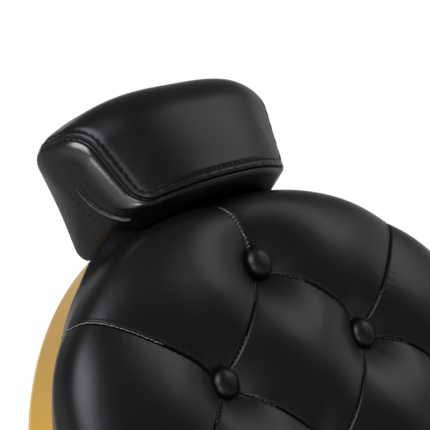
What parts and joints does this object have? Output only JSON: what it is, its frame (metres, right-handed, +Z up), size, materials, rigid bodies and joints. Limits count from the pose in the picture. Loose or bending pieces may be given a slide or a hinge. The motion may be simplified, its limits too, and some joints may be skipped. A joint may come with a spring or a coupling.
{
  "type": "barber chair",
  "caption": "Hydraulic reclining barber chair with a round button-tufted back in a gold shell, post headrest, loop arms, swivel base and a legrest linked to the back.",
  "frame": {"origin": "on the floor, at the axis of the hydraulic lift", "axes": "+Z up; the sitter faces -Y; +X is the sitter's left, where pedal and release lever are"},
  "size_m": [0.7049, 1.1781, 1.0835],
  "materials": {
    "black_leather": "satin leatherette, fine grain",
    "gold_moulding": "satin metallic gold lacquer",
    "gold_casting": "satin gold anodised",
    "gold_metal": "satin gold plated",
    "black_steel": "black powder coat",
    "bright_steel": "polished",
    "zinc_steel": "zinc plated",
    "hub_iron": "black enamel over sand casting",
    "bronze": "machined",
    "plywood": "raw birch ply",
    "black_rubber": "matt moulded",
    "black_plastic": "moulded, fine texture"
  },
  "bodies": {
    "root": {"base_plate": "black_steel", "base_ring": "black_rubber", "base_cover": "gold_metal", "pump_body": "gold_metal", "pump_bolts": "zinc_steel", "pump_collar": "gold_metal", "pedal_pin": "bright_steel"},
    "pedal": {"pedal_lever": "black_steel", "pedal_pad": "black_rubber"},
    "ram": {"ram": "bright_steel", "thrust_bearing": "zinc_steel"},
    "seat": {"swivel_hub": "hub_iron", "swivel_bush": "bronze", "cross_tube_front": "black_steel", "cross_tube_rear": "black_steel", "frame_bolts": "zinc_steel", "seat_shell": "gold_moulding", "seat_board": "plywood", "seat_cushion": "black_leather", "arm_bolts": "zinc_steel", "seat_rail_left": "black_steel", "seat_rail_right": "black_steel", "hinge_plate_left": "black_steel", "hinge_plate_right": "black_steel", "arm_frame_left": "gold_casting", "arm_frame_right": "gold_casting", "arm_pad_left": "black_leather", "arm_pad_right": "black_leather", "legrest_plates": "black_steel", "legrest_pins": "bright_steel", "recliner_housings": "zinc_steel"},
    "release": {"cross_shaft": "bright_steel", "release_lever": "black_steel", "release_grip": "black_plastic"},
    "back": {"back_cushion": "black_leather", "back_buttons": "black_leather", "back_board": "plywood", "back_bolts": "zinc_steel", "back_shell": "gold_moulding", "back_upright_left": "black_steel", "back_upright_right": "black_steel", "recliner_discs": "zinc_steel", "rear_link_pins": "bright_steel", "post_sleeve": "black_steel"},
    "link_left": {"drag_link_left": "black_steel"},
    "link_right": {"drag_link_right": "black_steel"},
    "legrest": {"legrest_arm_left": "black_steel", "legrest_arm_right": "black_steel", "legrest_tie": "black_steel", "legrest_board": "plywood", "legrest_cushion": "black_leather", "foot_pin": "bright_steel", "front_link_pins": "bright_steel"},
    "footplate": {"footplate": "gold_casting", "footplate_mat": "black_rubber"},
    "headrest": {"headrest_cushion": "black_leather", "headrest_board": "plywood", "headrest_post": "black_steel"},
    "knob": {"headrest_knob": "black_plastic"}
  },
  "joints": [
    {"name": "lift", "type": "slide", "parent": "root", "child": "ram", "axis": [0, 0, 1], "range_m": [0, 0.15]},
    {"name": "swivel", "type": "hinge", "parent": "ram", "child": "seat", "pos_m": [0, 0, 0.33], "axis": [0, 0, 1], "continuous": true},
    {"name": "recline", "type": "hinge", "parent": "seat", "child": "back", "pos_m": [0, 0.29, 0.385], "axis": [-1, 0, 0], "range_deg": [-12, 32]},
    {"name": "legrest_swing", "type": "hinge", "parent": "seat", "child": "legrest", "pos_m": [0, -0.25, 0.362], "axis": [-1, 0, 0], "range_deg": [-12, 32]},
    {"name": "link_left_swing", "type": "hinge", "parent": "back", "child": "link_left", "pos_m": [0.1374, 0.29, 0.315], "axis": [-1, 0, 0], "range_deg": [-32, 12]},
    {"name": "link_right_swing", "type": "hinge", "parent": "back", "child": "link_right", "pos_m": [-0.1374, 0.29, 0.315], "axis": [-1, 0, 0], "range_deg": [-32, 12]},
    {"name": "footplate_flip", "type": "hinge", "parent": "legrest", "child": "footplate", "pos_m": [0, -0.38023, 0.1341], "axis": [-1, 0, 0], "range_deg": [0, 80]},
    {"name": "release_pull", "type": "hinge", "parent": "seat", "child": "release", "pos_m": [0, 0.29, 0.385], "axis": [-1, 0, 0], "range_deg": [0, 25], "stiffness_Nm_per_rad": 5, "springref_deg": -11.46},
    {"name": "pedal_press", "type": "hinge", "parent": "root", "child": "pedal", "pos_m": [0.078, 0, 0.082], "axis": [0, 1, 0], "range_deg": [0, 8], "stiffness_Nm_per_rad": 20, "springref_deg": -20.05},
    {"name": "headrest_height", "type": "slide", "parent": "back", "child": "headrest", "axis": [0, 0.454, 0.891], "range_m": [0, 0.1]},
    {"name": "knob_turn", "type": "hinge", "parent": "back", "child": "knob", "pos_m": [0, 0.5828, 0.89798], "axis": [0, 0.891, -0.454], "range_deg": [0, 180]}
  ],
  "couplings": [
    {"joint": "legrest_swing", "follows": "recline", "ratio": 1},
    {"joint": "link_left_swing", "follows": "recline", "ratio": -1},
    {"joint": "link_right_swing", "follows": "recline", "ratio": -1}
  ]
}
